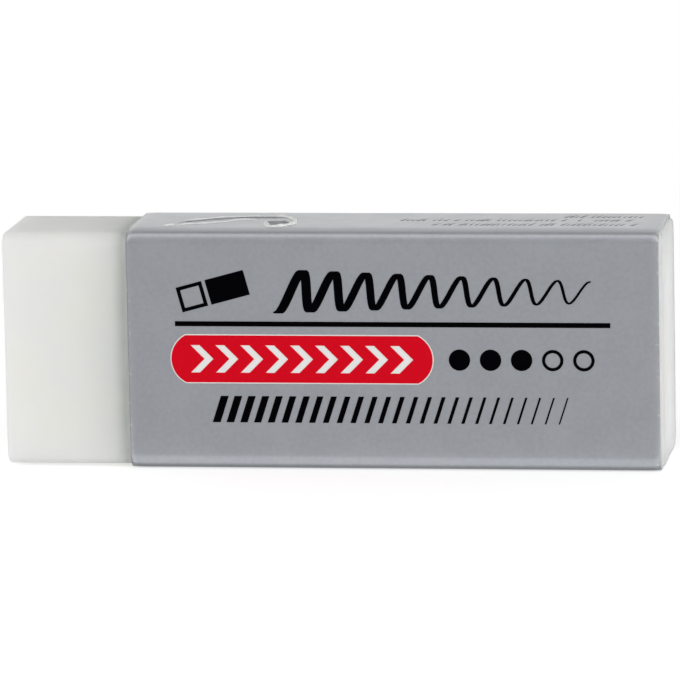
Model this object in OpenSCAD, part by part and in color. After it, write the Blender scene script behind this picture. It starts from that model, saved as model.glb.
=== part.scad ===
// Vinyl eraser in a printed card sleeve.
// Millimetres. It stands on its long narrow side: X runs along the block, -Y is the printed front, Z is up.
// The origin is under the middle of the block, on the face that it stands on.

/* [Block] */
// Length of the vinyl block
block_l = 62; // [56:1:80]
// Height of the block as it stands
block_h = 22; // [20:0.5:28]
// Thickness of the block from front to back
block_t = 12; // [9:0.5:18]
// Rounding of the four long edges
edge_r = 1.2; // [1:0.1:2.5]
// Rounding round the two cut ends
end_r = 0.4; // [0.1:0.05:0.8]

/* [Sleeve] */
// Length of the card sleeve
sleeve_l = 49.8; // [46:0.2:56]
// Bare block past the sleeve at the end that is held
tail = 0.35; // [0.05:0.05:3]
// Thickness of the card
card_t = 0.22; // [0.15:0.01:0.4]
// Clearance between the block and the card all round
fit_gap = 0.06; // [0.03:0.01:0.15]
// How much tighter the card folds than the block's edge is round
fold_pinch = 0.4; // [0.1:0.05:0.6]
// Width of the glue flap under the back panel
flap_w = 8; // [5:0.5:12]
// Distance from the lower fold to the back panel's free edge
free_edge = 0.5; // [0.2:0.1:2]
// Length over which the back panel steps down past the flap
joggle = 1.4; // [0.8:0.1:3]

/* [Print] */
// Thickness of one layer of ink
ink_t = 0.03; // [0.01:0.01:0.06]
// Distance from each end of the sleeve to the black rule
rule_margin = 4.5; // [3:0.1:7]
// Height of the black rule above the middle of the panel
rule_up = 2.57; // [2.4:0.01:3]
// Weight of the black rule
rule_w = 0.47; // [0.2:0.01:0.8]
// Distance from the sleeve's left end to the red field
field_inset = 4.1; // [3:0.1:7]
// Length of the red field
field_l = 24.6; // [20:0.1:28]
// Height of the red field
field_h = 4.45; // [3.6:0.05:5]
// Middle of the red field below the middle of the panel
field_down = 0.74; // [0.6:0.01:1]
// Radius of the red field's round ends
field_end_r = 2.5; // [2.5:0.1:4]
// White line that shows round the red field
field_line = 0.1; // [0.05:0.01:0.2]

/* [Motifs] */
// Middle of the upper row of motifs above the middle of the panel
upper_up = 5.65; // [5.4:0.05:6]
// Length of the eraser sign
sign_l = 6.6; // [4:0.1:7.5]
// Height of the eraser sign
sign_h = 2.4; // [1.8:0.1:2.6]
// Length of the sign's bare tip
sign_tip_l = 2.5; // [1.2:0.1:3]
// Lean of the eraser sign, in degrees
sign_lean = 15; // [0:1:20]
// Line weight of the sign's bare tip
sign_line = 0.34; // [0.2:0.01:0.5]
// Distance from the start of the rule to the scribble
scribble_inset = 9.3; // [8.8:0.1:12]
// Height of the scribble where it starts
scribble_h = 4; // [3:0.1:4.4]
// Height of the scribble where it fades out
scribble_low = 2; // [1:0.1:3]
// Distance between the scribble's turns
scribble_pitch = 1.5; // [1.2:0.05:2.5]
// Weight of the scribble where it starts
scribble_w = 0.95; // [0.5:0.05:1.2]
// Weight of the scribble where it fades out
scribble_thin = 0.22; // [0.15:0.01:0.4]
// Lean of the scribble, as run over rise
scribble_lean = 0.22; // [0:0.01:0.4]
// Rounding of the scribble's edges
scribble_r = 0.07; // [0.02:0.01:0.07]
// Height of the chevrons in the red field
chevron_h = 2.6; // [1.6:0.1:3]
// Weight of a chevron along the row
chevron_w = 0.85; // [0.4:0.05:1.1]
// Distance between chevrons
chevron_pitch = 2.35; // [2:0.05:3.5]
// Clear distance from the red field's ends to its chevrons
chevron_margin = 1.1; // [0.8:0.1:3]
// Diameter of the dots beside the red field
dot_d = 2; // [1.2:0.1:2.4]
// Distance between dots
dot_pitch = 2.9; // [2.6:0.05:4]
// Dots that are filled, the others are rings
dots_filled = 3; // [0:1:5]
// Line weight of a ring
ring_line = 0.3; // [0.15:0.01:0.5]
// Middle of the lower row of strokes below the middle of the panel
lower_down = 5.5; // [5:0.05:6]
// Distance from each end of the sleeve to the lower row
lower_margin = 7.8; // [6:0.1:12]
// Height of the lower strokes
stroke_h = 2.5; // [1.5:0.1:3.4]
// Distance between the lower strokes
stroke_pitch = 1.3; // [1.1:0.05:2]
// Weight of the first lower stroke
stroke_w = 0.75; // [0.4:0.05:0.9]
// Weight of the last lower stroke
stroke_thin = 0.14; // [0.1:0.01:0.3]
// Lean of the lower strokes, as run over rise
stroke_lean = 0.33; // [0:0.01:0.5]

/* [Hidden] */
$fn = 48;

// The card stands off the block by its own thickness and the clearance
lift = card_t + fit_gap;
inner_r = edge_r - fold_pinch;
outer_r = inner_r + card_t;
outer_t = block_t + 2 * lift;
outer_h = block_h + 2 * lift;
mid_z = outer_h / 2;
front_y = -outer_t / 2;
sleeve_x = block_l / 2 - tail - sleeve_l;

// Places on the front panel, from the sleeve's left end and the middle of the panel
rule_l = sleeve_l - 2 * rule_margin;
scribble_x = rule_margin + scribble_inset;
scribble_l = rule_l - scribble_inset - scribble_w - scribble_lean * scribble_h;
scribble_turns = floor(scribble_l / scribble_pitch);
chevrons = floor((field_l - 2 * chevron_margin - chevron_w) / chevron_pitch);
field_end = field_inset + field_l;
dots = floor((sleeve_l - rule_margin - field_end) / dot_pitch);
strokes = floor((sleeve_l - 2 * lower_margin) / stroke_pitch);

function blend(a, b, share) = a + (b - a) * share;

// A quarter disc in the first quadrant
module quarter(r) {
    intersection() {
        circle(r);
        square(r);
    }
}

// A rectangle about the origin with its four corners rounded
module rounded_outline(w, h, r) {
    square([w - 2 * r, h], center = true);
    square([w, h - 2 * r], center = true);
    for (side = [0, 1], end = [0, 1])
        mirror([side, 0]) mirror([0, end])
            translate([w / 2 - r, h / 2 - r]) quarter(r);
}

// Extrudes an outline drawn as (Y, Z) along X
module along_x(length) {
    rotate([90, 0, 90]) linear_extrude(length) children();
}

// The rounded lip of a cut end, seen along the edge: x is outwards, y is across
module lip(width) {
    translate([0, end_r - width / 2]) square([end_r, width - 2 * end_r]);
    for (side = [0, 1])
        mirror([0, side]) translate([0, width / 2 - end_r]) quarter(end_r);
}

// One cut end of the block, with all its edges rounded: x = 0 is where the straight body stops
module cut_end() {
    translate([0, 0, edge_r - block_h / 2])
        linear_extrude(block_h - 2 * edge_r) lip(block_t);
    translate([0, block_t / 2 - edge_r, 0])
        rotate([90, 0, 0]) linear_extrude(block_t - 2 * edge_r) lip(block_h);
    for (side = [0, 1], end = [0, 1])
        mirror([0, side, 0]) mirror([0, 0, end])
            translate([0, block_t / 2 - edge_r, block_h / 2 - edge_r])
                rotate([90, 0, 90]) rotate_extrude(angle = 90) {
                    square([edge_r - end_r, end_r]);
                    translate([edge_r - end_r, 0]) quarter(end_r);
                }
}

// The extruded vinyl block, cut to length
module vinyl_block() {
    color("#E3E5E0") translate([0, 0, mid_z]) {
        translate([end_r - block_l / 2, 0, 0])
            along_x(block_l - 2 * end_r) rounded_outline(block_t, block_h, edge_r);
        for (end = [0, 1])
            mirror([end, 0, 0]) translate([block_l / 2 - end_r, 0, 0]) cut_end();
    }
}

// The back panel where it laps over the glue flap, as (Y, Z): it lies one card further out
module lap_outline() {
    low = outer_r - outer_h / 2 + free_edge;
    high = low + flap_w;
    back = outer_t / 2;
    polygon([
        [back - card_t, low], [back + card_t, low],
        [back + card_t, high], [back, high + joggle], [back - card_t, high + joggle]
    ]);
}

// One card strip folded round the block and glued to its own flap behind
module card_sleeve() {
    color("#94979C") translate([sleeve_x, 0, mid_z]) along_x(sleeve_l) difference() {
        union() {
            rounded_outline(outer_t, outer_h, outer_r);
            lap_outline();
        }
        rounded_outline(outer_t - 2 * card_t, outer_h - 2 * card_t, inner_r);
    }
}

// Lays an outline on the front panel as a layer of ink: x from the sleeve's left end, y from its middle
module on_front(layer) {
    translate([sleeve_x, front_y - layer * ink_t, mid_z])
        rotate([90, 0, 0]) linear_extrude(ink_t) children();
}

// The red field's outline, grown by the white line where asked: a band between two round ends
module field_outline(grow) {
    centre = field_end_r;
    translate([field_inset, -field_down]) intersection() {
        union() {
            translate([centre, 0]) circle(field_end_r + grow);
            translate([field_l - centre, 0]) circle(field_end_r + grow);
            translate([centre, -field_end_r - grow])
                square([field_l - 2 * centre, 2 * (field_end_r + grow)]);
        }
        translate([-grow, -field_h / 2 - grow]) square([field_l + 2 * grow, field_h + 2 * grow]);
    }
}

// White laid under the red: it shows as the thin line round the field and through the chevrons
module ink_white() {
    color("#F4F4F2") on_front(0) field_outline(field_line);
}

module chevron() {
    half = chevron_h / 2;
    polygon([
        [0, half], [chevron_w, half], [half + chevron_w, 0],
        [chevron_w, -half], [0, -half], [half, 0]
    ]);
}

module chevron_row() {
    row_l = (chevrons - 1) * chevron_pitch + chevron_w + chevron_h / 2;
    for (i = [0 : chevrons - 1])
        translate([field_inset + (field_l - row_l) / 2 + i * chevron_pitch, -field_down]) chevron();
}

// The red field with the chevrons left open
module ink_red() {
    color("#CF0D21") on_front(1) difference() {
        field_outline(0);
        chevron_row();
    }
}

module rule() {
    translate([rule_margin, rule_up - rule_w / 2]) square([rule_l, rule_w]);
}

// An eraser as a sign: a solid sleeve and an open tip
module eraser_sign() {
    body_l = sign_l - sign_tip_l - sign_line;
    half_h = sign_h / 2;
    translate([rule_margin + sign_l / 2 + sign_line, upper_up]) rotate(sign_lean) {
        translate([sign_l / 2 - body_l, -half_h]) square([body_l, sign_h]);
        translate([-sign_l / 2, -half_h]) difference() {
            square([sign_tip_l, sign_h]);
            translate([sign_line, sign_line])
                square([sign_tip_l - 2 * sign_line, sign_h - 2 * sign_line]);
        }
    }
}

// A pencil line that swings up and down and fades out to the right, drawn with a broad nib
module scribble() {
    steps = 8;
    function share(i) = i / (steps * scribble_turns);
    function weight(i) = blend(scribble_w, scribble_thin, share(i)) / 2 - scribble_r;
    function up(i) = -cos(180 * i / steps) * blend(scribble_h, scribble_low, share(i)) / 2;
    function across(i) = i * scribble_pitch / steps + scribble_lean * up(i);
    translate([scribble_x + (scribble_w + scribble_lean * scribble_h) / 2, upper_up])
        offset(r = scribble_r, $fn = 16)
            for (i = [0 : steps * scribble_turns - 1])
                polygon([
                    [across(i) - weight(i), up(i)], [across(i) + weight(i), up(i)],
                    [across(i + 1) + weight(i + 1), up(i + 1)], [across(i + 1) - weight(i + 1), up(i + 1)]
                ]);
}

// Filled dots, then rings, in the room right of the red field
module dot_row() {
    spare = sleeve_l - rule_margin - field_end - dots * dot_pitch;
    for (i = [0 : dots - 1])
        translate([field_end + (spare + dot_pitch) / 2 + i * dot_pitch, -field_down]) difference() {
            circle(d = dot_d);
            if (i >= dots_filled)
                circle(d = dot_d - 2 * ring_line);
        }
}

// Leaning strokes that thin out to the right
module stroke_row() {
    lean = stroke_lean * stroke_h;
    row_l = (strokes - 1) * stroke_pitch + stroke_w + lean;
    translate([(sleeve_l - row_l) / 2, -lower_down])
        for (i = [0 : strokes - 1]) {
            weight = blend(stroke_w, stroke_thin, i / (strokes - 1));
            left = i * stroke_pitch;
            polygon([
                [left, -stroke_h / 2], [left + weight, -stroke_h / 2],
                [left + weight + lean, stroke_h / 2], [left + lean, stroke_h / 2]
            ]);
        }
}

// The black print, on the bare card
module ink_black() {
    color("#050507") {
        on_front(0) rule();
        on_front(0) eraser_sign();
        on_front(0) scribble();
        on_front(0) dot_row();
        on_front(0) stroke_row();
    }
}

vinyl_block();
card_sleeve();
ink_white();
ink_red();
ink_black();
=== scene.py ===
"""Looks of a vinyl block eraser in its printed card sleeve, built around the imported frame.

The frame's own nodes carry the print on the sleeve's front. The block, the sleeve and the marks on
the sleeve's top are made here, where the frame says. Everything is in metres.
"""

from __future__ import annotations

import logging
import math
from dataclasses import dataclass, field
from enum import Enum
from functools import reduce
from typing import Any

import bpy
from mathutils import Matrix, Vector


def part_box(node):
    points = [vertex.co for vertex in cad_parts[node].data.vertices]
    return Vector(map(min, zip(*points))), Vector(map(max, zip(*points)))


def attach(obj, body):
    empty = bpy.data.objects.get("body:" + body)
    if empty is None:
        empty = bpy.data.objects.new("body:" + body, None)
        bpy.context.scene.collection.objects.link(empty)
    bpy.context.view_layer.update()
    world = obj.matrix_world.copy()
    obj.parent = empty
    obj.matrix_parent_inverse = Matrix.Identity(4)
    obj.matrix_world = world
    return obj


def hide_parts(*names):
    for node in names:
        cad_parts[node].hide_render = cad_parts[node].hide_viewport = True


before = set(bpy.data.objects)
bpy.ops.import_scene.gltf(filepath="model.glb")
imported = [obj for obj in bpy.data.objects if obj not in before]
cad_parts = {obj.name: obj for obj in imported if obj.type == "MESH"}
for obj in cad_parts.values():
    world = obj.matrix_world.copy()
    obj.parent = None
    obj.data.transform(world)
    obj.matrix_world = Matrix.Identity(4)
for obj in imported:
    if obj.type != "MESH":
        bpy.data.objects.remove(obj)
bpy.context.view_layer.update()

log = logging.getLogger("eraser")

MM = 0.001
PHOTO_WIDTH_PX = 680
VARNISH_ROUGHNESS = 0.14
EVEN = (1.0, 1.0, 1.0)

Triple = tuple[float, float, float]
Span = tuple[float, float]
Colour = Triple
Socket = bpy.types.NodeSocket


class Body(Enum):
    """The bodies of the frame that pieces ride on."""

    BLOCK = "block"
    SLEEVE = "sleeve"


class Slot(Enum):
    """Names of the record's material slots. The pieces made here are not put into them."""

    VINYL = "vinyl"
    CARD = "card"
    BLACK = "black_ink"


@dataclass(frozen=True)
class Pattern:
    """A noise around a half, and the soft step that can be made of it.

    The feature is the size of one swell, the detail is how many finer layers lie on it, and rough is
    how strong they are. The stretch is how much longer it is along each axis. The step is where in
    the noise the pattern changes, from the first of its values to the second.
    """

    feature: float
    detail: float = 2.0
    rough: float = 0.5
    stretch: Triple = EVEN
    step: Span = (0.3, 0.7)
    values: Span = (0.0, 1.0)


@dataclass(frozen=True)
class Relief:
    """A pattern that shows as relief: how deep it is, and how strongly it shows."""

    pattern: Pattern
    depth: float
    strength: float


def rgba(colour: Colour) -> tuple[float, float, float, float]:
    """Returns a linear colour with full alpha."""
    return (*colour, 1.0)


def add_object(name: str, data: bpy.types.ID) -> bpy.types.Object:
    """Makes an object of some data and puts it in the scene.

    Args:
        name: the object's name.
        data: its mesh, curve, light or camera.

    Returns:
        The object, at the origin.
    """
    made = bpy.data.objects.new(name, data)
    bpy.context.scene.collection.objects.link(made)
    return made


class NodeTree:
    """A node tree with short calls to add nodes, join them, do sums and lay patterns."""

    def __init__(self, tree: bpy.types.NodeTree, kind: str, output: str) -> None:
        """Starts an empty tree with the node that gives each point's place.

        Args:
            tree: the tree that the nodes go into.
            kind: the type of the node that gives the place.
            output: the output of that node.
        """
        self.tree = tree
        self.tree.nodes.clear()
        self.place = self.node(kind).outputs[output]

    def node(self, kind: str, inputs: dict[str | int, Any] | None = None, **settings: Any) -> bpy.types.Node:
        """Adds one node.

        Args:
            kind: the node's type.
            inputs: values or sockets for its inputs, by name or place.
            settings: the node's own properties.

        Returns:
            The new node.
        """
        made = self.tree.nodes.new(kind)
        for name, value in settings.items():
            setattr(made, name, value)
        for name, value in (inputs or {}).items():
            self.feed(made.inputs[name], value)
        return made

    def feed(self, socket: Socket, value: Any) -> None:
        """Gives an input a value, or joins it to an output.

        Args:
            socket: the input.
            value: a number, vector, colour or material, or the output to join.
        """
        if isinstance(value, bpy.types.NodeSocket):
            self.tree.links.new(value, socket)
        else:
            socket.default_value = value

    @staticmethod
    def output(node: bpy.types.Node, kind: str) -> Socket:
        """Returns a node's first output of one kind of data."""
        return next(socket for socket in node.outputs if socket.type == kind)

    def math(self, operation: str, *values: Any) -> Socket:
        """Returns the socket of a Math node that is fed with numbers or sockets."""
        return self.node("ShaderNodeMath", dict(enumerate(values)), operation=operation).outputs[0]

    def add(self, *values: Any) -> Socket:
        """Returns the socket of a sum."""
        return reduce(lambda total, value: self.math("ADD", total, value), values)

    def sub(self, first: Any, second: Any) -> Socket:
        """Returns the socket of the first number less the second."""
        return self.math("SUBTRACT", first, second)

    def mul(self, *values: Any) -> Socket:
        """Returns the socket of a product."""
        return reduce(lambda product, value: self.math("MULTIPLY", product, value), values)

    def absolute(self, value: Any) -> Socket:
        """Returns the socket of a number without its sign."""
        return self.math("ABSOLUTE", value)

    def positive(self, value: Any) -> Socket:
        """Returns the socket of a number that is held at 0 or more."""
        return self.math("MAXIMUM", value, 0.0)

    def split(self, vector: Socket) -> tuple[Socket, Socket, Socket]:
        """Returns the sockets of a vector's three numbers."""
        return tuple(self.node("ShaderNodeSeparateXYZ", {0: vector}).outputs)

    def ramp(self, value: Any, low: Any, high: Any, start: Any = 0.0, end: Any = 1.0) -> Socket:
        """Adds a smooth step.

        Args:
            value: the number that is mapped.
            low: where the step starts.
            high: where the step ends.
            start: the result at low.
            end: the result at high.

        Returns:
            The result's socket.
        """
        inputs = {"Value": value, "From Min": low, "From Max": high, "To Min": start, "To Max": end}
        return self.node("ShaderNodeMapRange", inputs, interpolation_type="SMOOTHSTEP").outputs["Result"]

    def noise(self, pattern: Pattern) -> Socket:
        """Adds a pattern's noise.

        Args:
            pattern: the pattern.

        Returns:
            The socket of a number around a half.
        """
        place = self.place
        if pattern.stretch != EVEN:
            scale = tuple(1.0 / share for share in pattern.stretch)
            place = self.node("ShaderNodeMapping", {"Vector": place, "Scale": scale}).outputs[0]
        inputs = {"Vector": place, "Scale": 1.0 / pattern.feature}
        layers = {"Detail": pattern.detail, "Roughness": pattern.rough}
        return self.node("ShaderNodeTexNoise", inputs | layers).outputs[0]

    def patches(self, pattern: Pattern) -> Socket:
        """Returns the socket of a pattern's soft step from its first value to its second."""
        return self.ramp(self.noise(pattern), *pattern.step, *pattern.values)


class Shader(NodeTree):
    """A material's tree, with patterns on Object coordinates."""

    def __init__(self, name: str) -> None:
        """Starts a material.

        Args:
            name: the material's name.
        """
        self.material = bpy.data.materials.new(name)
        self.material.use_nodes = True
        super().__init__(self.material.node_tree, "ShaderNodeTexCoord", "Object")

    def blend(self, share: Any, first: Any, second: Any, how: str = "MIX") -> Socket:
        """Mixes two colours.

        Args:
            share: how much of the second there is.
            first: a linear colour or a socket.
            second: a linear colour or a socket.
            how: the Mix node's blend type.

        Returns:
            The mixed colour's socket.
        """
        mix = self.node("ShaderNodeMix", data_type="RGBA", blend_type=how)
        colours = [socket for socket in mix.inputs if socket.type == "RGBA"]
        self.feed(mix.inputs[0], share)
        for socket, colour in zip(colours, (first, second)):
            self.feed(socket, rgba(colour) if isinstance(colour, tuple) else colour)
        return self.output(mix, "RGBA")

    def relief(self, relief: Relief, **under: Socket) -> Socket:
        """Turns a pattern into relief.

        Args:
            relief: the pattern and its depth.
            under: as Normal, the relief that this one lies on, where there is one.

        Returns:
            The normal's socket.
        """
        inputs = {"Height": self.noise(relief.pattern), "Distance": relief.depth, "Strength": relief.strength}
        return self.node("ShaderNodeBump", inputs | under).outputs[0]

    def glow(self, strength: Any) -> Socket:
        """Returns the socket of a white glow."""
        return self.node("ShaderNodeEmission", {"Strength": strength}).outputs[0]

    def either(self, share: Any, first: Socket, second: Socket) -> Socket:
        """Returns the socket of two surfaces mixed, with a share of the second."""
        return self.node("ShaderNodeMixShader", {0: share, 1: first, 2: second}).outputs[0]

    def close(self, surface: Socket) -> bpy.types.Material:
        """Ends the material with a surface.

        Args:
            surface: the surface's socket.

        Returns:
            The finished material.
        """
        self.node("ShaderNodeOutputMaterial", {"Surface": surface})
        return self.material

    def principled(self, **inputs: Any) -> bpy.types.Material:
        """Ends the material with a principled surface.

        Args:
            inputs: the surface's inputs, with underscores for the spaces in their names.

        Returns:
            The finished material.
        """
        named = {name.replace("_", " "): value for name, value in inputs.items()}
        return self.close(self.node("ShaderNodeBsdfPrincipled", named).outputs[0])


class GeometryTree(NodeTree):
    """A Geometry Nodes tree with named inputs, which is run once and leaves a plain mesh."""

    KINDS = {int: "NodeSocketInt", float: "NodeSocketFloat"}

    def __init__(self, name: str, sizes: dict[str, float | int]) -> None:
        """Starts a tree.

        Args:
            name: the tree's name.
            sizes: the named inputs and their values.
        """
        group = bpy.data.node_groups.new(name, "GeometryNodeTree")
        super().__init__(group, "GeometryNodeInputPosition", "Position")
        self.sizes = sizes
        face = group.interface
        face.new_socket(name="Geometry", in_out="INPUT", socket_type="NodeSocketGeometry")
        self.identifiers = {
            key: face.new_socket(name=key, in_out="INPUT", socket_type=self.KINDS[type(value)]).identifier
            for key, value in sizes.items()
        }
        face.new_socket(name="Geometry", in_out="OUTPUT", socket_type="NodeSocketGeometry")
        self.given = self.node("NodeGroupInput").outputs

    def geo(self, kind: str, inputs: dict[str | int, Any], **settings: Any) -> Socket:
        """Adds a node of the GeometryNode family.

        Args:
            kind: the node's type, without the family's name.
            inputs: values or sockets for its inputs, by name or place.
            settings: the node's own properties.

        Returns:
            The socket of its first output.
        """
        return self.node("GeometryNode" + kind, inputs, **settings).outputs[0]

    def vector(self, x: Any = 0.0, y: Any = 0.0, z: Any = 0.0) -> Socket:
        """Returns the socket of a vector made of three numbers or sockets."""
        return self.node("ShaderNodeCombineXYZ", {0: x, 1: y, 2: z}).outputs[0]

    def vmath(self, operation: str, inputs: dict[str | int, Any]) -> Socket:
        """Returns the socket of a sum on vectors."""
        return self.node("ShaderNodeVectorMath", inputs, operation=operation).outputs["Vector"]

    def scaled(self, vector: Socket, factor: Any) -> Socket:
        """Returns the socket of a vector made longer or shorter."""
        return self.vmath("SCALE", {0: vector, "Scale": factor})

    def along_normal(self, distance: Any) -> Socket:
        """Returns the socket of a step of some length the way that each point faces."""
        return self.scaled(self.geo("InputNormal", {}), distance)

    def direction_from(self, middle: Socket) -> Socket:
        """Returns the socket of the way from a place to each point, with a length of 1."""
        return self.vmath("NORMALIZE", {0: self.vmath("SUBTRACT", {0: self.place, 1: middle})})

    def swing(self, pattern: Pattern, height: Any) -> Socket:
        """Returns the socket of a pattern's noise that goes as far below 0 as above it."""
        return self.mul(self.sub(self.noise(pattern), 0.5), self.mul(height, 2.0))

    def circle_height(self, radius: Socket, across: Socket) -> Socket:
        """Finds how high a circle is above its middle line.

        Args:
            radius: the circle's radius.
            across: the distance along the middle line, from the middle.

        Returns:
            The height's socket, which stays 0 outside the circle.
        """
        return self.math("SQRT", self.positive(self.sub(self.mul(radius, radius), self.mul(across, across))))

    def move(self, geometry: Socket, offset: Socket) -> Socket:
        """Returns the socket of a geometry whose points are moved by an offset."""
        return self.geo("SetPosition", {"Geometry": geometry, "Offset": offset})

    def put(self, geometry: Socket, position: Socket) -> Socket:
        """Returns the socket of a geometry whose points are put in new places."""
        return self.geo("SetPosition", {"Geometry": geometry, "Position": position})

    def evenly(self, curve: Socket, count: Any) -> Socket:
        """Returns the socket of a curve with a number of points spread evenly over it."""
        return self.geo("ResampleCurve", {"Curve": curve, "Count": count}, mode="COUNT")

    def every(self, curve: Socket, length: Any) -> Socket:
        """Returns the socket of a curve with a point at every length of it."""
        return self.geo("ResampleCurve", {"Curve": curve, "Length": length}, mode="LENGTH")

    def upright(self, curve: Socket) -> Socket:
        """Returns the socket of a curve that sweeps its section without a twist."""
        return self.geo("SetCurveNormal", {"Curve": curve}, mode="Z_UP")

    def close(self, geometry: Socket, finishes: list[tuple[bpy.types.Material, Any]]) -> None:
        """Ends the tree.

        Args:
            geometry: the finished geometry.
            finishes: each material, and True or the socket that says which faces get it.
        """
        geometry = self.geo("SetShadeSmooth", {"Geometry": geometry})
        geometry = self.geo("RealizeInstances", {"Geometry": geometry})
        for material, where in finishes:
            inputs = {"Geometry": geometry, "Selection": where, "Material": material}
            geometry = self.geo("SetMaterial", inputs)
        self.node("NodeGroupOutput", {"Geometry": geometry})

    def run(self, name: str, carrier: bpy.types.ID) -> bpy.types.Object:
        """Runs the tree on a carrier and keeps the result as a plain mesh.

        Args:
            name: the new piece's name.
            carrier: the mesh or curve that the tree starts from.

        Returns:
            The new piece, at the origin.
        """
        source = add_object(name + "_source", carrier)
        modifier = source.modifiers.new("build", "NODES")
        modifier.node_group = self.tree
        for key, value in self.sizes.items():
            modifier[self.identifiers[key]] = value
        depsgraph = bpy.context.evaluated_depsgraph_get()
        mesh = bpy.data.meshes.new_from_object(source.evaluated_get(depsgraph), depsgraph=depsgraph)
        source.modifiers.clear()
        bpy.data.objects.remove(source)
        mesh.name = name
        return add_object(name, mesh)


def poly_curve(name: str, lines: list[list[Vector]], radii: list[float] | None = None) -> bpy.types.Curve:
    """Makes a curve of one or more open lines of straight steps.

    Args:
        name: the curve's name.
        lines: the points that each line goes through.
        radii: each line's radius, where it isn't 1.

    Returns:
        The curve's data.
    """
    curve = bpy.data.curves.new(name, "CURVE")
    curve.dimensions = "3D"
    for points, radius in zip(lines, radii or [1.0] * len(lines), strict=True):
        spline = curve.splines.new("POLY")
        spline.points.add(len(points) - 1)
        for made, point in zip(spline.points, points):
            made.co = (*point, 1.0)
            made.radius = radius
    return curve


def arc(centre: Vector, radius: float, start_deg: float, end_deg: float, steps: int) -> list[Vector]:
    """Makes the points of a flat arc, both ends included.

    Args:
        centre: the arc's middle.
        radius: its radius.
        start_deg: the angle of its first point, in degrees.
        end_deg: the angle of its last point, in degrees.
        steps: the number of straight steps.

    Returns:
        The points.
    """
    angles = [math.radians(start_deg + (end_deg - start_deg) * i / steps) for i in range(steps + 1)]
    return [centre + Vector((math.cos(a), math.sin(a), 0.0)) * radius for a in angles]


def straight(start: Vector, end: Vector, step: float) -> list[Vector]:
    """Makes the points inside a straight stretch, its ends left out.

    Args:
        start: where it starts.
        end: where it ends.
        step: the longest distance between points.

    Returns:
        The points.
    """
    count = max(1, math.ceil((end - start).length / step))
    return [start.lerp(end, i / count) for i in range(1, count)]


# Finishes


@dataclass(frozen=True)
class VinylFinish:
    """Milky eraser vinyl: light goes a few millimetres in, and the skin is satin with a fine grain.

    The grime-and-shade band is the soft darker line round the block at the sleeve's edge. It is partly a
    grime line that the edge leaves and partly painted shade, standing in for the shade that the sleeve
    casts. It fades out on the bare side of the edge in a near and a far part, is lighter right at the
    edge, and ends a little under the sleeve.
    """

    warm: Colour = (0.850, 0.844, 0.802)
    cool: Colour = (0.828, 0.838, 0.820)
    clouds: Pattern = Pattern(9 * MM, detail=1.0, step=(0.32, 0.68))
    sheen: Pattern = Pattern(2 * MM, values=(0.46, 0.58))
    gloss: float = 0.35
    grain: Relief = Relief(Pattern(0.16 * MM, detail=3.0), 0.006 * MM, 0.5)
    die_lines: Relief = Relief(Pattern(0.5 * MM, detail=1.0, stretch=(60.0, 1.0, 1.0)), 0.01 * MM, 0.4)
    scatter: float = 8.0 * MM
    scatter_tint: Colour = (1.0, 1.0, 0.9)
    # painted shade: this colour darkens the block towards the sleeve's edge, partly as grime and partly as
    # the sleeve's shade painted in
    grime_and_shade: Colour = (0.68, 0.71, 0.68)
    grime_and_shade_patches: Pattern = Pattern(2.5 * MM, values=(0.85, 1.0))
    near_reach: float = 1.7 * MM
    near_share: float = 0.72
    far_reach: float = 6.0 * MM
    far_share: float = 0.28
    rim_reach: float = 0.55 * MM
    rim_share: float = 0.2
    under_reach: float = 0.7 * MM

    def grime_and_shade_mask(self, s: Shader, edge: float) -> Socket:
        """Finds the darker band round the block at the sleeve's edge, which is partly grime and partly
        painted shade.

        Args:
            s: the material in the making.
            edge: the place of the sleeve's edge along the block.

        Returns:
            The socket of the band's strength, grime and painted shade together.
        """
        x = s.split(s.place)[0]
        near = s.ramp(x, edge - self.near_reach, edge, 0.0, self.near_share)
        far = s.ramp(x, edge - self.far_reach, edge, 0.0, self.far_share)
        under = s.ramp(x, edge, edge + self.under_reach, 1.0, 0.0)
        rim = s.ramp(x, edge - self.rim_reach, edge, 1.0, self.rim_share)
        return s.mul(s.add(near, far), s.mul(under, rim), s.patches(self.grime_and_shade_patches))

    def material(self, edge: float) -> bpy.types.Material:
        """Makes the finish.

        Args:
            edge: the place of the sleeve's edge along the block.

        Returns:
            The material.
        """
        s = Shader("eraser_vinyl")
        clean = s.blend(s.patches(self.clouds), self.warm, self.cool)
        return s.principled(
            # painted shade near the sleeve's edge, multiplied into the vinyl's colour together with the grime
            Base_Color=s.blend(self.grime_and_shade_mask(s, edge), clean, self.grime_and_shade, "MULTIPLY"),
            Roughness=s.patches(self.sheen),
            Specular_IOR_Level=self.gloss,
            Subsurface_Weight=1.0,
            Subsurface_Radius=self.scatter_tint,
            Subsurface_Scale=self.scatter,
            Normal=s.relief(self.grain, Normal=s.relief(self.die_lines)),
        )


@dataclass(frozen=True)
class CoreFinish:
    """Uncoated card, as a cut edge or the inner face shows it: matt grey fibres."""

    name: str = "card_core"
    pale: Colour = (0.56, 0.57, 0.55)
    dark: Colour = (0.44, 0.45, 0.43)
    fibres: Pattern = Pattern(0.22 * MM, detail=4.0, stretch=(3.0, 1.0, 1.5), step=(0.35, 0.65))
    depth: float = 0.02 * MM
    strength: float = 0.5
    roughness: float = 0.9
    gloss: float = 0.15

    def material(self) -> bpy.types.Material:
        """Makes the finish.

        Returns:
            The material.
        """
        s = Shader(self.name)
        return s.principled(
            Base_Color=s.blend(s.patches(self.fibres), self.dark, self.pale),
            Roughness=self.roughness,
            Specular_IOR_Level=self.gloss,
            Normal=s.relief(Relief(self.fibres, self.depth, self.strength)),
        )


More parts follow.
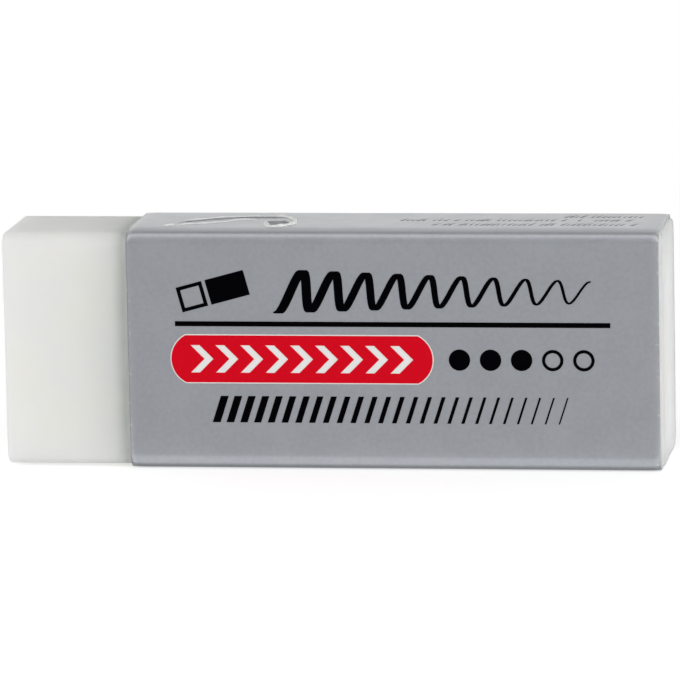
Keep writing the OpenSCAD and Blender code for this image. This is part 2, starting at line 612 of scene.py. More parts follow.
@dataclass(frozen=True)
class SilverCardFinish:
    """Card printed silver grey: fine pigment, rubbed pale at the cut edges and corners, and pale along the
    fold crests, partly from worn ink and partly as a painted highlight.

    A fold's span is how far round it the pale crest is whole, and how far round it fades out. The
    corners are the ends of the folds, which are crushed more.
    """

    pigment: Colour = (0.376, 0.391, 0.422)
    shade: Colour = (0.345, 0.360, 0.390)
    # the pale colour of worn ink, also used for the painted highlight along the fold crests
    pale_wear_and_highlight: Colour = (0.56, 0.575, 0.595)
    core: Colour = (0.55, 0.575, 0.59)
    specks: Pattern = Pattern(0.45 * MM, detail=3.0, rough=0.6)
    speck_share: float = 0.6
    clouds: Pattern = Pattern(3.2 * MM)
    cloud_share: float = 0.4
    mottle_step: Span = (0.36, 0.64)
    sheen: Pattern = Pattern(3.2 * MM, detail=1.0, values=(0.28, 0.34))
    metal: float = 0.6
    gloss: float = 0.4
    varnish: float = 0.5
    tooth: Relief = Relief(Pattern(0.4 * MM, detail=1.0), 0.008 * MM, 0.15)
    crest_deg: float = 46.0
    fold_span_deg: Span = (0.0, 26.0)
    fold_wear_and_highlight: float = 0.15
    corner_span_deg: Span = (25.0, 45.0)
    corner_worn: float = 0.9
    broken: Pattern = Pattern(0.35 * MM, detail=3.0, step=(0.38, 0.62), values=(0.35, 1.0))
    edge_reach: float = 0.8 * MM
    edge_worn: float = 0.14
    nicks: Pattern = Pattern(0.62 * MM, detail=3.0)
    nick_lean: float = 0.2
    nick_step: Span = (0.755, 0.87)

    def fold_mask(self, s: Shader, sleeve: CardSleeve, span_deg: Span) -> Socket:
        """Finds the crests of the folds, where the card turns from one panel to the next.

        Args:
            s: the material in the making.
            sleeve: the sleeve that says where the folds are.
            span_deg: how far round a fold the crest is whole, and how far round it fades out.

        Returns:
            The socket of a number that is 1 on a crest and 0 on the panels.
        """
        _, y, z = s.split(s.place)
        across = s.sub(s.absolute(y), sleeve.half_t - sleeve.fold_r)
        along = s.sub(s.absolute(s.sub(z, sleeve.mid_z)), sleeve.half_h - sleeve.fold_r)
        turn = s.math("ARCTAN2", s.positive(along), s.positive(across))
        off = s.absolute(s.sub(turn, math.radians(self.crest_deg)))
        whole, reach = (math.radians(angle) for angle in span_deg)
        return s.ramp(off, reach, whole)

    def edge_mask(self, s: Shader, sleeve: CardSleeve) -> Socket:
        """Finds the strips beside the two cut ends.

        Args:
            s: the material in the making.
            sleeve: the sleeve that says where the ends are.

        Returns:
            The socket of a number that is 1 at a cut end and 0 away from it.
        """
        out = s.absolute(s.sub(s.split(s.place)[0], (sleeve.left + sleeve.right) / 2))
        end = (sleeve.right - sleeve.left) / 2
        return s.ramp(out, end - self.edge_reach, end)

    def material(self, sleeve: CardSleeve) -> bpy.types.Material:
        """Makes the finish.

        Args:
            sleeve: the sleeve that it goes on.

        Returns:
            The material.
        """
        s = Shader("silver_card")
        specks = s.mul(s.noise(self.specks), self.speck_share)
        clouds = s.mul(s.noise(self.clouds), self.cloud_share)
        colour = s.blend(s.ramp(s.add(specks, clouds), *self.mottle_step), self.shade, self.pigment)
        edge = self.edge_mask(s, sleeve)
        # pale fold crests: partly ink worn on the folds, partly a painted highlight along them
        folds = s.mul(self.fold_mask(s, sleeve, self.fold_span_deg), self.fold_wear_and_highlight)
        corners = s.mul(self.fold_mask(s, sleeve, self.corner_span_deg), s.mul(edge, self.corner_worn))
        worn = s.mul(s.math("MAXIMUM", folds, corners), s.patches(self.broken))
        colour = s.blend(worn, colour, self.pale_wear_and_highlight)
        colour = s.blend(s.mul(edge, self.edge_worn), colour, self.pale_wear_and_highlight)
        nicks = s.ramp(s.add(s.noise(self.nicks), s.mul(edge, self.nick_lean)), *self.nick_step)
        return s.principled(
            Base_Color=s.blend(s.mul(nicks, edge), colour, self.core),
            Metallic=self.metal,
            Roughness=s.patches(self.sheen),
            Specular_IOR_Level=self.gloss,
            Coat_Weight=self.varnish,
            Coat_Roughness=VARNISH_ROUGHNESS,
            Normal=s.relief(self.tooth),
        )


@dataclass(frozen=True)
class InkFinish:
    """A printed ink: an even colour with small flecks where it is thin, and the card's unevenness."""

    name: str
    colour: Colour
    thin: Colour
    roughness: float = 0.6
    gloss: float = 0.1
    metal: float = 0.0
    varnish: float = 0.0
    flecks: Pattern = Pattern(0.12 * MM, step=(0.62, 0.8))
    tooth: Relief = Relief(Pattern(0.3 * MM, detail=3.0), 0.006 * MM, 0.2)

    def material(self) -> bpy.types.Material:
        """Makes the finish.

        Returns:
            The material.
        """
        s = Shader(self.name)
        return s.principled(
            Base_Color=s.blend(s.patches(self.flecks), self.colour, self.thin),
            Metallic=self.metal,
            Roughness=self.roughness,
            Specular_IOR_Level=self.gloss,
            Coat_Weight=self.varnish,
            Coat_Roughness=VARNISH_ROUGHNESS,
            Normal=s.relief(self.tooth),
        )


# Pieces


@dataclass
class VinylBlock:
    """The extruded vinyl block, with its long edges rounded by the die and its ends cut."""

    edge_r: float = 1.2 * MM
    end_r: float = 0.4 * MM
    arc_steps: int = 10
    section_step: float = 0.5 * MM
    stations: int = 150
    swell: float = 0.02 * MM
    swells: Pattern = Pattern(14 * MM, detail=1.0)
    finish: VinylFinish = VinylFinish()

    def __post_init__(self) -> None:
        """Takes the block's place from the frame."""
        self.low, self.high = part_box("vinyl_block")

    def tree(self, material: bpy.types.Material) -> GeometryTree:
        """Makes the tree that sweeps the rounded section and rounds the cut ends.

        Args:
            material: the block's material.

        Returns:
            The tree.
        """
        size = self.high - self.low
        t = GeometryTree(
            "rounded bar",
            {
                "Length": size.x,
                "Thickness": size.y,
                "Height": size.z,
                "Edge Radius": self.edge_r,
                "End Radius": self.end_r,
                "Arc Steps": self.arc_steps,
                "Section Step": self.section_step,
                "Stations": self.stations,
                "Swell": self.swell,
            },
        )
        g = t.given
        box = t.geo("CurvePrimitiveQuadrilateral", {"Width": g["Thickness"], "Height": g["Height"]})
        corners = {"Curve": box, "Count": g["Arc Steps"], "Radius": g["Edge Radius"], "Limit Radius": True}
        section = t.every(t.geo("FilletCurve", corners, mode="POLY"), g["Section Step"])
        unit = t.geo("CurvePrimitiveLine", {"Start": (-1.0, 0.0, 0.0), "End": (1.0, 0.0, 0.0)})
        path = t.upright(t.put(t.evenly(unit, g["Stations"]), t.vector(self.gathered(t))))
        bar = t.geo("CurveToMesh", {"Curve": path, "Profile Curve": section, "Fill Caps": True})
        bar = t.move(bar, self.end_inset(t))
        bar = t.move(bar, t.vector(0.0, 0.0, (self.low.z + self.high.z) / 2))
        bar = t.move(bar, t.along_normal(t.swing(self.swells, g["Swell"])))
        t.close(bar, [(material, True)])
        return t

    @staticmethod
    def gathered(t: GeometryTree) -> Socket:
        """Spaces the stations along the block, closer towards its ends.

        Args:
            t: the tree in the making, whose path runs from -1 to 1.

        Returns:
            The socket of each station's place.
        """
        x = t.split(t.place)[0]
        inside = t.sub(1.0, t.absolute(x))
        out = t.sub(1.0, t.mul(inside, inside))
        return t.mul(t.math("SIGN", x), out, t.mul(t.given["Length"], 0.5))

    @staticmethod
    def end_inset(t: GeometryTree) -> Socket:
        """Finds how far each point of the swept bar moves in to round the cut ends.

        Args:
            t: the tree in the making, with the bar about the origin.

        Returns:
            The offset's socket.
        """
        g = t.given
        x, y, z = t.split(t.place)
        flat = t.sub(t.mul(g["Length"], 0.5), g["End Radius"])
        past = t.positive(t.sub(t.absolute(x), flat))
        inset = t.sub(g["End Radius"], t.circle_height(g["End Radius"], past))
        core = []
        for value, name in ((y, "Thickness"), (z, "Height")):
            half = t.sub(t.mul(g[name], 0.5), g["Edge Radius"])
            core.append(t.node("ShaderNodeClamp", {0: value, 1: t.mul(half, -1.0), 2: half}).outputs[0])
        return t.scaled(t.direction_from(t.vector(x, *core)), t.mul(inset, -1.0))

    def build(self) -> bpy.types.Object:
        """Builds the block.

        Returns:
            The piece.
        """
        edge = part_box("card_sleeve")[0].x
        piece = self.tree(self.finish.material(edge)).run("vinyl_bar", bpy.data.meshes.new("seed"))
        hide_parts("vinyl_block")
        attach(piece, Body.BLOCK.value)
        return piece


@dataclass
class CardSleeve:
    """One card strip, folded round the block at four folds and glued to its own flap behind.

    The swell leaves the front flat, where the print lies, and the foot, which it stands on. It grows
    over a span from the front backwards, and over another from the foot up.
    """

    card_t: float = 0.22 * MM
    fold_r: float = 1.02 * MM
    worn_fold_r: float = 1.42 * MM
    curl: float = 0.17 * MM
    curl_reach: float = 2.0 * MM
    glue: float = 0.008 * MM
    free_edge: float = 1.52 * MM
    flap_top: float = 9.4 * MM
    joggle_low: float = 9.52 * MM
    joggle_high: float = 10.92 * MM
    fold_steps: int = 12
    joggle_steps: int = 8
    curl_steps: int = 10
    panel_step: float = 0.5 * MM
    stations: int = 100
    weld: float = 0.001 * MM
    swell: float = 0.022 * MM
    swells: Pattern = Pattern(11 * MM, detail=0.0)
    swell_back: Span = (-5.6 * MM, -3.6 * MM)
    swell_up: Span = (0.5 * MM, 2.0 * MM)
    mouth: float = 0.9 * MM
    pinch: float = 0.045 * MM
    clearance: float = 0.015 * MM
    finish: SilverCardFinish = SilverCardFinish()
    core: CoreFinish = CoreFinish()
    board: CoreFinish = CoreFinish("grey_board", pale=(0.17, 0.168, 0.16), dark=(0.12, 0.118, 0.112))

    def __post_init__(self) -> None:
        """Takes the sleeve's place from the frame."""
        low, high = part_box("card_sleeve")
        self.left, self.right = low.x, high.x
        self.half_t = -low.y
        self.lap_y = high.y
        self.half_h = (high.z - low.z) / 2
        self.mid_z = (high.z + low.z) / 2
        self.top = high.z

    def strip_path(self) -> list[Vector]:
        """Follows the middle of the card from the glue flap's free edge to the back panel's.

        Returns:
            The points, with Y of the frame as x and Z of the frame as y.
        """
        half_card = self.card_t / 2
        side = self.half_t - half_card
        low = half_card
        high = 2 * self.half_h - half_card
        r = self.fold_r - half_card
        worn = self.worn_fold_r - half_card
        curl_deg = math.degrees(math.atan(2 * self.curl / self.curl_reach))
        turned = -r * math.sin(math.radians(curl_deg))
        flap_y = self.lap_y - self.card_t - self.glue - half_card
        lap_y = self.lap_y - half_card
        bends = [
            [Vector((flap_y, self.flap_top, 0.0))],
            arc(Vector((side - r, low + r, 0.0)), r, 0.0, -90.0, self.fold_steps),
            arc(Vector((worn - side, low + worn, 0.0)), worn, -90.0, -180.0, self.fold_steps),
            arc(Vector((r - side, high - r - self.curl, 0.0)), r, 180.0, 90.0 + curl_deg, self.fold_steps),
            self.curled(Vector((r - side, high - self.curl, 0.0)), Vector((turned, 0.0, 0.0))),
            arc(Vector((side - r, high - r, 0.0)), r, 90.0, 0.0, self.fold_steps),
            self.joggle(side, lap_y),
            [Vector((lap_y, self.free_edge, 0.0))],
        ]
        path: list[Vector] = []
        for bend in bends:
            if path:
                path += straight(path[-1], bend[0], self.panel_step)
            path += bend
        return path

    def curled(self, fold: Vector, start: Vector) -> list[Vector]:
        """Lifts the top panel softly out of its front fold, as the card keeps some of the fold's curl.

        Args:
            fold: where the panel would leave the fold if it were flat.
            start: how far from there it leaves it.

        Returns:
            The points, from the fold backwards.
        """
        points = []
        for i in range(1, self.curl_steps + 1):
            share = i / self.curl_steps
            lift = self.curl * (1 - (1 - share) * (1 - share))
            points.append(fold + start * (1 - share) + Vector((self.curl_reach * share, lift, 0.0)))
        return points

    def joggle(self, upper_y: float, lower_y: float) -> list[Vector]:
        """Steps the back panel out over the flap in a soft double bend.

        Args:
            upper_y: the card's place above the step.
            lower_y: the card's place below the step.

        Returns:
            The points, from the top down.
        """
        points = []
        for i in range(self.joggle_steps + 1):
            share = i / self.joggle_steps
            soft = share * share * (3 - 2 * share)
            height = self.joggle_high + (self.joggle_low - self.joggle_high) * share
            points.append(Vector((upper_y + (lower_y - upper_y) * soft, height, 0.0)))
        return points

    def tree(self, block: VinylBlock) -> GeometryTree:
        """Makes the tree that sweeps the strip along its path and gives it its thickness.

        Args:
            block: the block that the sleeve is round.

        Returns:
            The tree.
        """
        t = GeometryTree(
            "folded strip",
            {
                "Length": self.right - self.left,
                "Start": self.left,
                "Thickness": self.card_t,
                "Stations": self.stations,
                "Swell": self.swell,
                "Mouth": self.mouth,
                "Pinch": self.pinch,
                "Block Top": block.high.z,
                "Block Side": block.high.y,
                "Block Edge": block.edge_r,
            },
        )
        g = t.given
        closed, cut, printed = self.thickened(t, self.sheet(t))
        x, y, z = t.split(t.place)
        swell = t.mul(t.ramp(y, *self.swell_back), t.ramp(z, *self.swell_up))
        out = t.absolute(t.sub(x, t.add(g["Start"], t.mul(g["Length"], 0.5))))
        inside = t.sub(t.mul(g["Length"], 0.5), g["Mouth"])
        grip = t.ramp(out, inside, t.add(inside, g["Mouth"]), 0.0, g["Pinch"])
        closed = self.cleared(t, self.pinched(t, self.swollen(t, closed, swell), grip))
        mouth = t.math("GREATER_THAN", out, inside)
        core = self.core.material()
        outside = self.finish.material(self)
        t.close(closed, [(self.board.material(), True), (core, mouth), (core, cut), (outside, printed)])
        return t

    @staticmethod
    def sheet(t: GeometryTree) -> Socket:
        """Sweeps the card's middle face along the path that the tree is given.

        Args:
            t: the tree in the making.

        Returns:
            The socket of the face, in its place round the block.
        """
        g = t.given
        width = t.evenly(t.geo("CurvePrimitiveLine", {"End": t.vector(0.0, g["Length"])}), g["Stations"])
        ribbon = t.geo("CurveToMesh", {"Curve": t.upright(g["Geometry"]), "Profile Curve": width})
        y, z, along = t.split(t.place)
        return t.put(ribbon, t.vector(t.add(t.absolute(along), g["Start"]), y, z))

    def thickened(self, t: GeometryTree, sheet: Socket) -> tuple[Socket, Socket, Socket]:
        """Gives the card its thickness and marks its faces.

        Args:
            t: the tree in the making.
            sheet: the card's middle face.

        Returns:
            The sockets of the closed strip, of which faces are cut and of which are printed.
        """
        thickness = t.given["Thickness"]
        inner = t.move(sheet, t.along_normal(t.mul(thickness, -0.5)))
        inputs = {"Mesh": inner, "Offset Scale": thickness, "Individual": False}
        raised = t.node("GeometryNodeExtrudeMesh", inputs)
        outer = raised.outputs["Mesh"]
        for name, faces in (("printed", "Top"), ("cut", "Side")):
            stored = {"Geometry": outer, "Name": name, "Value": raised.outputs[faces]}
            outer = t.geo("StoreNamedAttribute", stored, data_type="BOOLEAN", domain="FACE")
        both = t.node("GeometryNodeJoinGeometry")
        for part in (t.geo("FlipFaces", {"Mesh": inner}), outer):
            t.feed(both.inputs[0], part)
        closed = t.geo("MergeByDistance", {"Geometry": both.outputs[0], "Distance": self.weld})
        names = ("cut", "printed")
        return closed, *(t.geo("InputNamedAttribute", {"Name": name}, data_type="BOOLEAN") for name in names)

    def swollen(self, t: GeometryTree, geometry: Socket, share: Any) -> Socket:
        """Swells panels a little, inner and outer face alike, or the marks that lie on them.

        Args:
            t: the tree in the making, with an input named Swell.
            geometry: the closed strip, or marks that lie on it.
            share: how much of the swell each point gets.

        Returns:
            The moved geometry's socket.
        """
        out = t.direction_from(t.vector(t.split(t.place)[0], 0.0, self.mid_z))
        return t.move(geometry, t.scaled(out, t.mul(t.swing(self.swells, t.given["Swell"]), share)))

    def pinched(self, t: GeometryTree, geometry: Socket, grip: Socket) -> Socket:
        """Draws the panels in towards the block.

        Args:
            t: the tree in the making.
            geometry: the closed strip.
            grip: how far each point's panel goes in.

        Returns:
            The moved geometry's socket.
        """
        _, y, z = t.split(t.place)
        in_y = t.mul(y, t.math("DIVIDE", grip, -self.half_t))
        in_z = t.mul(t.sub(z, self.mid_z), t.math("DIVIDE", grip, -self.half_h))
        return t.move(geometry, t.vector(0.0, in_y, in_z))

    def cleared(self, t: GeometryTree, geometry: Socket) -> Socket:
        """Presses the top panel's card thinner where its curl would reach into the block.

        Args:
            t: the tree in the making.
            geometry: the closed strip.

        Returns:
            The moved geometry's socket.
        """
        g = t.given
        _, y, z = t.split(t.place)
        edge = g["Block Edge"]
        past = t.positive(t.sub(t.absolute(y), t.sub(g["Block Side"], edge)))
        round_z = t.add(t.sub(g["Block Top"], edge), t.circle_height(edge, past))
        push = t.positive(t.sub(t.add(round_z, self.clearance), z))
        upper = t.math("GREATER_THAN", z, self.top - self.fold_r)
        return t.move(geometry, t.vector(0.0, 0.0, t.mul(push, upper)))

    def build(self, block: VinylBlock) -> bpy.types.Object:
        """Builds the sleeve.

        Args:
            block: the block that it is round.

        Returns:
            The piece.
        """
        piece = self.tree(block).run("folded_card", poly_curve("strip_path", [self.strip_path()]))
        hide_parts("card_sleeve")
        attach(piece, Body.SLEEVE.value)
        return piece


@dataclass(frozen=True)
class PrintRow:
    """One row of fine print: where it starts and ends along the sleeve, and how far back it is."""

    start: float
    end: float
    back: float


@dataclass
class FinePrint:
    """Small print on the sleeve's top, kept as rows of plain slanted dashes grouped like words.

    Each dash is scaled at random along each axis, between the least and the most.
    """

    rows: tuple[PrintRow, ...] = (
        PrintRow(8.7 * MM, 27.8 * MM, -2.2 * MM),
        PrintRow(4.9 * MM, 28.1 * MM, 0.5 * MM),
        PrintRow(20.6 * MM, 28.1 * MM, 2.7 * MM),
    )
    dash_pitch: float = 0.5 * MM
    dash_l: float = 0.30 * MM
    dash_h: float = 1.5 * MM
    dash_t: float = 0.012 * MM
    least: Triple = (0.5, 0.6, 1.0)
    most: Triple = (1.2, 1.0, 1.0)
    slant: float = 0.3
    space_share: float = 0.17
    seed: int = 11
    finish: InkFinish = InkFinish(
        "grey_ink",
        (0.15, 0.155, 0.17),
        (0.21, 0.215, 0.23),
        roughness=0.34,
        gloss=0.4,
        metal=0.6,
        varnish=0.4,
    )

    def tree(self, sleeve: CardSleeve, material: bpy.types.Material) -> GeometryTree:
        """Makes the tree that sets dashes out along the rows.

        Args:
            sleeve: the sleeve that they are printed on.
            material: the ink.

        Returns:
            The tree.
        """
        t = GeometryTree(
            "dash rows",
            {
                "Dash Pitch": self.dash_pitch,
                "Dash Length": self.dash_l,
                "Dash Height": self.dash_h,
                "Dash Thickness": self.dash_t,
                "Slant": self.slant,
                "Space Share": self.space_share,
                "Swell": sleeve.swell,
                "Seed": self.seed,
            },
        )
        g = t.given
        places = t.geo("CurveToPoints", {"Curve": g["Geometry"], "Length": g["Dash Pitch"]}, mode="LENGTH")
        chance = {"Probability": g["Space Share"], "Seed": g["Seed"]}
        space = t.output(t.node("FunctionNodeRandomValue", chance, data_type="BOOLEAN"), "BOOLEAN")
        letters = t.geo("DeleteGeometry", {"Geometry": places, "Selection": space}, domain="POINT")
        size = t.vector(g["Dash Length"], g["Dash Height"], g["Dash Thickness"])
        dash = t.move(t.geo("MeshCube", {"Size": size}), t.vector(0.0, t.mul(g["Dash Height"], 0.5)))
        dash = t.move(dash, t.vector(t.mul(t.split(t.place)[1], g["Slant"])))
        between = {0: self.least, 1: self.most, "Seed": t.add(g["Seed"], 1.0)}
        scale = t.output(t.node("FunctionNodeRandomValue", between, data_type="FLOAT_VECTOR"), "VECTOR")
        row = t.geo("InstanceOnPoints", {"Points": letters, "Instance": dash, "Scale": scale})
        t.close(sleeve.swollen(t, t.geo("RealizeInstances", {"Geometry": row}), 1.0), [(material, True)])
        return t

    def build(self, sleeve: CardSleeve) -> bpy.types.Object:
        """Builds the rows.

        Args:
            sleeve: the sleeve that they are printed on.

        Returns:
            The piece.
        """
        lines = [[Vector((x, row.back, sleeve.top)) for x in (row.start, row.end)] for row in self.rows]
        piece = self.tree(sleeve, self.finish.material()).run("fine_print", poly_curve("print_rows", lines))
        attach(piece, Body.SLEEVE.value)
        return piece


@dataclass(frozen=True)
class Stroke:
    """One line of a scuff: its thickness against the others, and its points in millimetres."""

    thick: float
    points_mm: tuple[Span, ...]


@dataclass(frozen=True)
class ScuffLines:
    """Lines of a scuff that look alike, one set for the raised bare fibres and one for the dark ridges
    painted as their shadows.

    Each line thins out over a part of its length at both ends, and its thickness wavers on the way.
    """

    name: str
    width: float
    height: float
    strokes: tuple[Stroke, ...]
    finish: CoreFinish
    step: float = 0.15 * MM
    ring_points: int = 10
    end_part: float = 0.15
    end_share: float = 0.2
    waver: Pattern = Pattern(1.4 * MM, detail=1.0, values=(0.8, 1.2))

    def thickness(self, t: GeometryTree) -> Socket:
        """Finds how thick a line is at each of its points.

        Args:
            t: the tree in the making.

        Returns:
            The socket of the thickness, as a share of the width and height.
        """
        along = t.node("GeometryNodeSplineParameter").outputs["Factor"]
        start = t.ramp(along, 0.0, self.end_part, self.end_share, 1.0)
        end = t.ramp(along, 1.0, 1.0 - self.end_part, self.end_share, 1.0)
        return t.mul(t.geo("InputRadius", {}), t.mul(start, end, t.patches(self.waver)))

    def tree(self, sleeve: CardSleeve, material: bpy.types.Material) -> GeometryTree:
        """Makes the tree that runs a low ridge along each stroke.

        Args:
            sleeve: the sleeve that the scuff is on.
            material: the ridge's material.

        Returns:
            The tree.
        """
        sizes = {"Width": self.width, "Height": self.height, "Step": self.step, "Swell": sleeve.swell}
        t = GeometryTree("ridges", sizes)
        g = t.given
        smooth = t.geo("CurveSplineType", {"Curve": g["Geometry"]}, spline_type="CATMULL_ROM")
        path = t.upright(t.every(smooth, g["Step"]))
        ring = t.geo("CurvePrimitiveCircle", {"Resolution": self.ring_points, "Radius": 1.0}, mode="RADIUS")
        flat = t.vector(t.mul(g["Width"], 0.5), g["Height"], 1.0)
        ring = t.geo("Transform", {"Geometry": ring, "Scale": flat})
        inputs = {"Curve": path, "Profile Curve": ring, "Scale": self.thickness(t), "Fill Caps": True}
        t.close(sleeve.swollen(t, t.geo("CurveToMesh", inputs), 1.0), [(material, True)])
        return t

    def build(self, sleeve: CardSleeve) -> bpy.types.Object:
        """Builds the lines.

        Args:
            sleeve: the sleeve that they are on.

        Returns:
            The piece.
        """
        lines = [[Vector((x * MM, y * MM, sleeve.top)) for x, y in each.points_mm] for each in self.strokes]
        carrier = poly_curve(self.name + "_path", lines, [each.thick for each in self.strokes])
        piece = self.tree(sleeve, self.finish.material()).run(self.name, carrier)
        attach(piece, Body.SLEEVE.value)
        return piece


@dataclass
class Scuff:
    """A scuff on the sleeve's top: a long sliver of the card's face, peeled up and pressed back, with its
    shadows painted in as dark ridges.
    """

    fibres: ScuffLines = ScuffLines(
        "scuff_fibres",
        width=0.34 * MM,
        height=0.12 * MM,
        strokes=(
            Stroke(1.1, ((-16.1, -2.9), (-15.6, -2.6), (-15.1, -2.4))),
            Stroke(
                0.8,
                (
                    (-15.0, -2.6), (-14.2, -1.9), (-13.3, -1.6), (-12.4, -1.2), (-11.6, -0.8),
                    (-10.7, -0.3), (-9.9, 0.5), (-9.0, 1.0), (-7.4, 1.2),
                ),
            ),
            Stroke(
                0.7,
                (
                    (-14.8, -0.1), (-14.1, 0.8), (-13.1, 1.4), (-11.7, 2.2), (-10.2, 2.7), (-8.4, 3.0),
                    (-7.0, 3.2),
                ),
            ),
            Stroke(
                1.6,
                (
                    (-7.2, 3.2), (-6.4, 3.1), (-5.7, 2.9), (-5.0, 2.3), (-4.3, 1.0), (-4.1, -0.2),
                    (-4.1, -1.5), (-4.6, -2.5), (-5.3, -3.2), (-5.9, -3.4), (-6.3, -2.7), (-6.6, -1.2),
                    (-7.0, 0.4),
                ),
            ),
        ),
        finish=CoreFinish("bare_fibres", pale=(0.95, 0.95, 0.94), dark=(0.84, 0.84, 0.83)),
    )
    # painted shadow: dark low ridges stand in for the shade beside the lifted sliver and in the hollow under
    # it
    crease_shadows: ScuffLines = ScuffLines(
        "scuff_crease_shadows",
        width=0.30 * MM,
        height=0.07 * MM,
        strokes=(
            Stroke(
                1.0,
                (
                    (-15.0, -1.3), (-14.5, -0.5), (-13.6, 0.1), (-12.7, 0.6), (-11.9, 1.1), (-11.0, 1.6),
                    (-9.6, 2.1), (-8.2, 2.2), (-6.8, 2.2), (-5.6, 2.2), (-4.9, 1.7),
                ),
            ),
            Stroke(3.2, ((-6.6, -1.9), (-5.7, -1.4), (-4.5, -0.9))),
        ),
        finish=CoreFinish("crease_shade", pale=(0.38, 0.38, 0.385), dark=(0.31, 0.31, 0.315)),
    )

    def build(self, sleeve: CardSleeve) -> list[bpy.types.Object]:
        """Returns the scuff's two pieces, built on the sleeve."""
        return [lines.build(sleeve) for lines in (self.crease_shadows, self.fibres)]


@dataclass
class PanelPrint:
    """The inks on the sleeve's front, which are the frame's own nodes and get only their finish."""

    inks: dict[str, InkFinish] = field(
        default_factory=lambda: {
            "ink_white": InkFinish("white_ink", (0.86, 0.86, 0.85), (0.66, 0.67, 0.68), gloss=0.05),
            "ink_red": InkFinish("red_ink", (0.690, 0.0032, 0.0146), (0.71, 0.02, 0.03), gloss=0.03),
            "ink_black": InkFinish("black_ink", (0.0015, 0.0015, 0.0022), (0.008, 0.008, 0.009), gloss=0.0),
        }
    )

    def dress(self) -> list[bpy.types.Object]:
        """Gives each ink its material.

        Returns:
            The dressed nodes.
        """
        dressed = []
        for name, ink in self.inks.items():
            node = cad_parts[name]
            node.data.materials.clear()
            node.data.materials.append(ink.material())
            dressed.append(node)
        return dressed


# Studio


@dataclass
class Lamp:
    """One round soft lamp that points at the object. A mirror would show its brightness; 1 is white."""

    name: str
    place: Vector
    size: float
    brightness: float
    target: Vector = field(default_factory=lambda: Vector((0.0, 0.0, 0.011)))

    def build(self) -> bpy.types.Object:
        """Builds the lamp.

        Returns:
            The lamp, aimed at its target.
        """
        light = bpy.data.lights.new(self.name, "AREA")
        light.shape = "DISK"
        light.size = self.size
        light.energy = self.brightness * math.pi * math.pi * (self.size / 2) ** 2
        lamp = add_object(self.name, light)
        lamp.location = self.place
        lamp.rotation_euler = (self.target - self.place).to_track_quat("-Z", "Y").to_euler()
        lamp.visible_glossy = False
        return lamp


@dataclass
class Camera:
    """The camera, at the photograph's viewing angle."""

    yaw_deg: float = 8.415
    pitch_deg: float = -9.744
    roll_deg: float = -1.147
    distance: float = 600 * MM
    focal_px: float = 6384.0
    target: Vector = field(default_factory=lambda: Vector((-0.044 * MM, 0.0, 11.287 * MM)))
    sensor_mm: float = 36.0
    clip_start: float = 0.01

    def build(self) -> bpy.types.Object:
        """Builds the camera.

        Returns:
            The camera, made the scene's own.
        """
        yaw = Matrix.Rotation(math.radians(self.yaw_deg), 3, "Z")
        pitch = Matrix.Rotation(math.radians(self.pitch_deg), 3, "X")
        right, forward, up = (yaw @ pitch).col
        roll = math.radians(self.roll_deg)
        level_right = right * math.cos(roll) + up * math.sin(roll)
        level_up = up * math.cos(roll) - right * math.sin(roll)
        data = bpy.data.cameras.new("camera")
        data.sensor_width = self.sensor_mm
        data.lens = self.focal_px * self.sensor_mm / PHOTO_WIDTH_PX
        data.clip_start = self.clip_start
        camera = add_object("camera", data)
        axes = Matrix((level_right, level_up, -forward)).transposed()
        place = self.target - forward * self.distance
        camera.matrix_world = Matrix.LocRotScale(place, axes.to_quaternion(), None)
        bpy.context.scene.camera = camera
        return camera


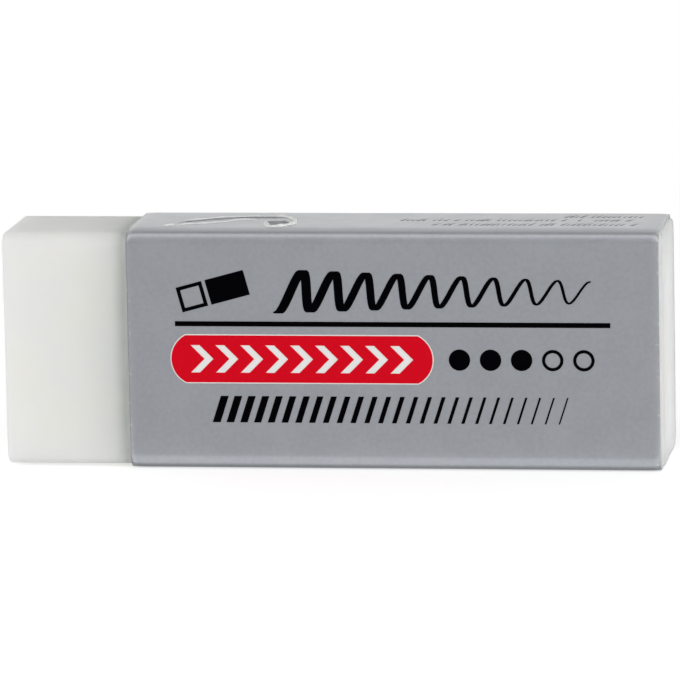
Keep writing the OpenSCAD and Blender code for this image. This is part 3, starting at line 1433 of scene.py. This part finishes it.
@dataclass
class Studio:
    """A white table under soft lamps, lit so that colours come out about as written.

    Glossy surfaces see a room of their own, with no lamps in it. Its levels go from the front
    horizon over the top to the horizon behind, and 1 is white. In reflections the table has levels
    of its own too: one in front, one behind, brighter along the object's foot and dark right under
    it. Each span says from where to where on the table a level changes, measured from the middle.
    """

    floor_size: float = 6.0
    floor_albedo: float = 0.85
    floor_glow: float = 0.50
    floor_light: float = 0.13
    white_span: Span = (0.07, 0.18)
    foot_light: float = 0.065
    foot_light_span: Span = (5.5 * MM, 7.5 * MM)
    ambient: float = 0.57
    lamps: tuple[Lamp, ...] = (
        Lamp("front", Vector((0.0, -0.70, 0.42)), 0.50, 0.9),
        Lamp("fill", Vector((0.0, -0.70, 0.11)), 0.20, 4.6),
        Lamp("left", Vector((-0.80, -0.24, 0.10)), 0.60, 2.8),
        Lamp("right", Vector((0.80, -0.24, 0.10)), 0.60, 4.9),
    )
    room: tuple[Span, ...] = (
        (0.0, 0.74), (0.15, 0.80), (0.30, 0.95), (0.44, 1.62), (0.56, 1.62), (0.67, 0.70),
        (0.80, 0.58), (0.92, 1.04), (1.0, 1.30),
    )
    table: Span = (0.74, 0.95)
    table_span: Span = (-0.03, 0.03)
    foot: float = 1.25
    foot_span: Span = (7.5 * MM, 13.0 * MM)
    under: float = 0.30
    under_span: Span = (5.6 * MM, 6.3 * MM)

    def floor(self) -> bpy.types.Object:
        """Builds the table.

        Returns:
            The table, which is no part of the object.
        """
        half = self.floor_size / 2
        corners = [(-half, -half, 0.0), (half, -half, 0.0), (half, half, 0.0), (-half, half, 0.0)]
        mesh = bpy.data.meshes.new("floor")
        mesh.from_pydata(corners, [], [(0, 1, 2, 3)])
        floor = add_object("floor", mesh)
        mesh.materials.append(self.floor_material())
        return floor

    @staticmethod
    def seen(tree: NodeTree, paths: bpy.types.bpy_prop_collection) -> Socket:
        """Returns the socket of a number that is 1 where the camera looks, and 0 for other light."""
        return tree.math("MAXIMUM", paths["Is Camera Ray"], paths["Is Transmission Ray"])

    def floor_material(self) -> bpy.types.Material:
        """Makes a white table that keeps the shadow near the object and is plain white far away.

        Returns:
            The material.
        """
        s = Shader("floor")
        paths = s.node("ShaderNodeLightPath").outputs
        seen = self.seen(s, paths)
        x, y, _ = s.split(s.place)
        far = s.ramp(s.math("SQRT", s.add(s.mul(x, x), s.mul(y, y))), *self.white_span)
        paper = s.node("ShaderNodeBsdfDiffuse", {"Color": rgba((self.floor_albedo,) * 3)}).outputs[0]
        foot = s.ramp(s.absolute(y), *self.foot_light_span, self.foot_light, 0.0)
        light = s.add(s.mul(foot, s.sub(1.0, far)), self.floor_light)
        level = s.add(s.mul(seen, s.sub(self.floor_glow, light)), light)
        near = s.node("ShaderNodeAddShader", {0: paper, 1: s.glow(level)}).outputs[0]
        shown = s.either(s.mul(seen, far), near, s.glow(1.0))
        return s.close(s.either(paths["Is Glossy Ray"], shown, s.glow(self.table_level(s, y))))

    def table_level(self, s: Shader, y: Socket) -> Socket:
        """Finds how bright the table is in reflections: lit along the object's foot, dark under it.

        Args:
            s: the table's material in the making.
            y: how far behind the middle each point is.

        Returns:
            The level's socket.
        """
        out = s.absolute(y)
        open_table = s.ramp(y, *self.table_span, *self.table)
        foot = s.ramp(out, *self.foot_span, 1.0, 0.0)
        lit = s.add(s.mul(foot, self.foot), s.mul(s.sub(1.0, foot), open_table))
        return s.mul(lit, s.ramp(out, *self.under_span, self.under, 1.0))

    def world(self) -> bpy.types.World:
        """Makes the world: white behind the object, an even soft light, and the room.

        Returns:
            The world, made the scene's own.
        """
        world = bpy.data.worlds.new("studio")
        world.use_nodes = True
        w = NodeTree(world.node_tree, "ShaderNodeTexCoord", "Generated")
        paths = w.node("ShaderNodeLightPath").outputs
        _, y, z = w.split(w.place)
        turn = w.math("ARCTAN2", w.positive(z), w.mul(y, -1.0))
        glossy = w.mul(paths["Is Glossy Ray"], self.room_level(w, w.math("DIVIDE", turn, math.pi)))
        seen = self.seen(w, paths)
        soft = w.mul(w.sub(1.0, w.math("MAXIMUM", paths["Is Glossy Ray"], seen)), self.ambient)
        background = w.node("ShaderNodeBackground", {"Strength": w.add(seen, glossy, soft)}).outputs[0]
        w.node("ShaderNodeOutputWorld", {"Surface": background})
        bpy.context.scene.world = world
        return world

    def room_level(self, w: NodeTree, turn: Socket) -> Socket:
        """Finds how bright the room is in reflections.

        Args:
            w: the world's tree.
            turn: 0 at the front horizon, a half overhead and 1 at the horizon behind.

        Returns:
            The level's socket.
        """
        top = max(level for _, level in self.room)
        ramp = w.node("ShaderNodeValToRGB", {0: turn})
        ramp.color_ramp.interpolation = "EASE"
        stops = ramp.color_ramp.elements
        while len(stops) < len(self.room):
            stops.new(0.5)
        for stop, (place, level) in zip(stops, self.room):
            stop.position = place
            stop.color = rgba((level / top,) * 3)
        return w.mul(ramp.outputs["Color"], top)

    def build(self) -> None:
        """Builds the studio and sets how colours are shown."""
        self.floor()
        self.world()
        for lamp in self.lamps:
            lamp.build()
        Camera().build()
        bpy.context.scene.view_settings.view_transform = "Standard"


def main() -> None:
    """Builds the eraser and the studio round it."""
    logging.basicConfig(level=logging.INFO, format="%(name)s: %(message)s")
    block = VinylBlock()
    block.build()
    sleeve = CardSleeve()
    sleeve.build(block)
    FinePrint().build(sleeve)
    for piece in Scuff().build(sleeve):
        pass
    for node in PanelPrint().dress():
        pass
    Studio().build()


if __name__ == "__main__":
    main()
